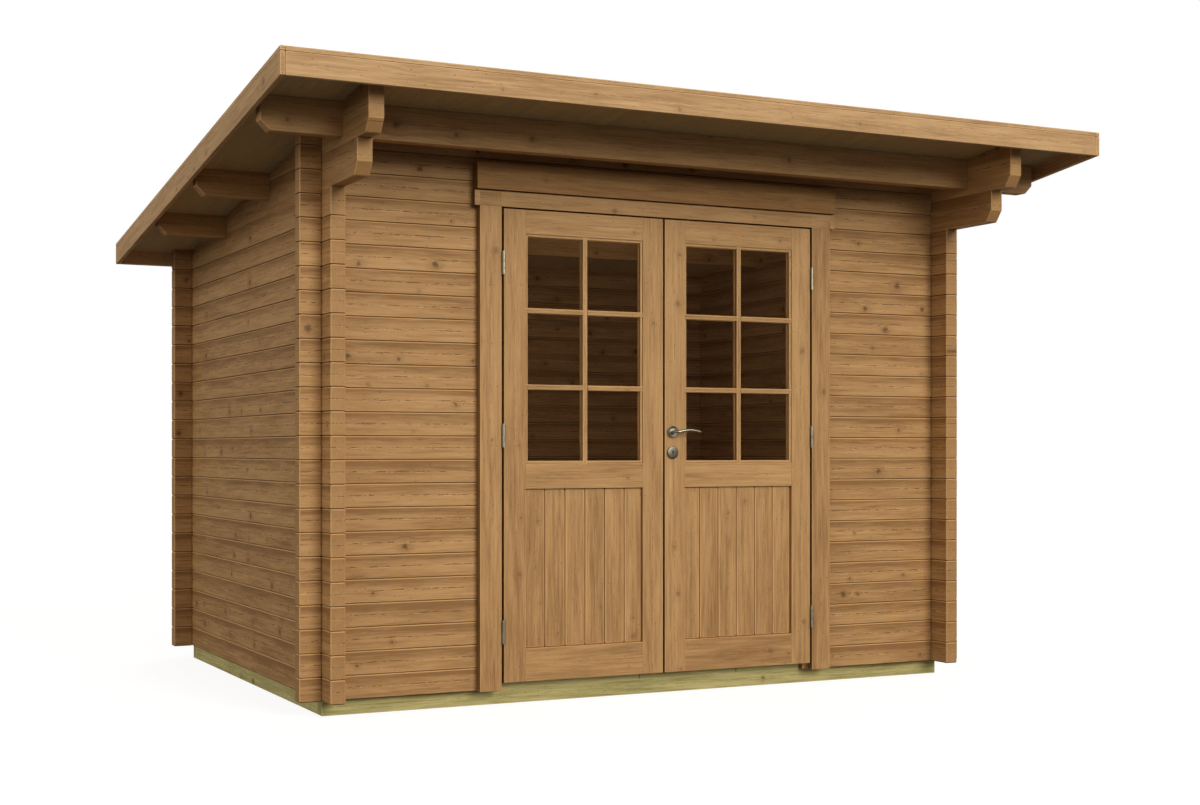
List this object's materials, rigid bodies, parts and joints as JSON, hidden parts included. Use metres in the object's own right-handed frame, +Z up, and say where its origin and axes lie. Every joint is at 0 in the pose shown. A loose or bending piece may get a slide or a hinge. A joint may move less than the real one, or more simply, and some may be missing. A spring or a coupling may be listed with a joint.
{
  "type": "wooden garden shed",
  "caption": "Log-built garden shed with interlocking corners, a pent roof carried forward on corbel logs, and a glazed double door that opens outwards.",
  "frame": {"origin": "on the ground at the middle of the walls' plan, under the middle floor joist", "axes": "+X along the front, to the right of someone facing the door; +Y from the front to the back; +Z up"},
  "size_m": [3.7, 2.92, 2.444],
  "materials": {
    "wall_logs": "planed softwood logs, honey-brown stain",
    "roof_timber": "planed softwood, honey-brown stain",
    "fascia_timber": "planed softwood board, honey-brown stain",
    "frame_timber": "planed softwood, honey-brown stain",
    "door_timber": "planed softwood joinery, honey-brown stain",
    "floor_timber": "planed softwood floor boards",
    "treated_timber": "sawn pine, green pressure treatment",
    "roofing_felt": "mineral-surfaced bitumen felt",
    "glass": "clear float glass",
    "satin_steel": "satin"
  },
  "bodies": {
    "root": {"base_front_beam": "treated_timber", "base_back_beam": "treated_timber", "base_side_beams": "treated_timber", "floor_joists": "treated_timber", "floor_boards": "floor_timber", "left_wall": "wall_logs", "right_wall": "wall_logs", "back_wall": "wall_logs", "front_wall_left": "wall_logs", "front_wall_right": "wall_logs", "front_wall_top": "wall_logs", "lower_corbel_logs": "roof_timber", "upper_corbel_logs": "roof_timber", "front_purlin": "roof_timber", "middle_purlin": "roof_timber", "rear_purlin": "roof_timber", "roof_boards": "roof_timber", "roof_felt": "roofing_felt", "front_fascia": "fascia_timber", "back_fascia": "fascia_timber", "side_fascias": "fascia_timber", "door_threshold": "treated_timber", "door_jambs": "frame_timber", "door_frame_head": "frame_timber", "door_side_trims": "frame_timber", "door_head_trim": "frame_timber", "door_drip_board": "frame_timber", "frame_hinge_leaves": "satin_steel"},
    "left_door": {"left_door_stiles": "door_timber", "left_door_rails": "door_timber", "left_door_glazing_bars": "door_timber", "left_door_glass": "glass", "left_door_panel": "door_timber", "left_door_hinge_leaves": "satin_steel"},
    "right_door": {"right_door_stiles": "door_timber", "right_door_rails": "door_timber", "right_door_glazing_bars": "door_timber", "right_door_glass": "glass", "right_door_panel": "door_timber", "right_door_hinge_leaves": "satin_steel", "handle_roses": "satin_steel", "keyhole_plates": "satin_steel"},
    "door_handle": {"outer_lever": "satin_steel", "inner_lever": "satin_steel"}
  },
  "joints": [
    {"name": "left_door_swing", "type": "hinge", "parent": "root", "child": "left_door", "pos_m": [-0.745, -1.15, 1], "axis": [0, 0, -1], "range_deg": [0, 110]},
    {"name": "right_door_swing", "type": "hinge", "parent": "root", "child": "right_door", "pos_m": [0.745, -1.15, 1], "axis": [0, 0, 1], "range_deg": [0, 110]},
    {"name": "door_handle_turn", "type": "hinge", "parent": "right_door", "child": "door_handle", "pos_m": [0.04, -1.15, 1.12], "axis": [0, 1, 0], "range_deg": [0, 35], "stiffness_Nm_per_rad": 1.5, "springref_deg": -28.65}
  ]
}
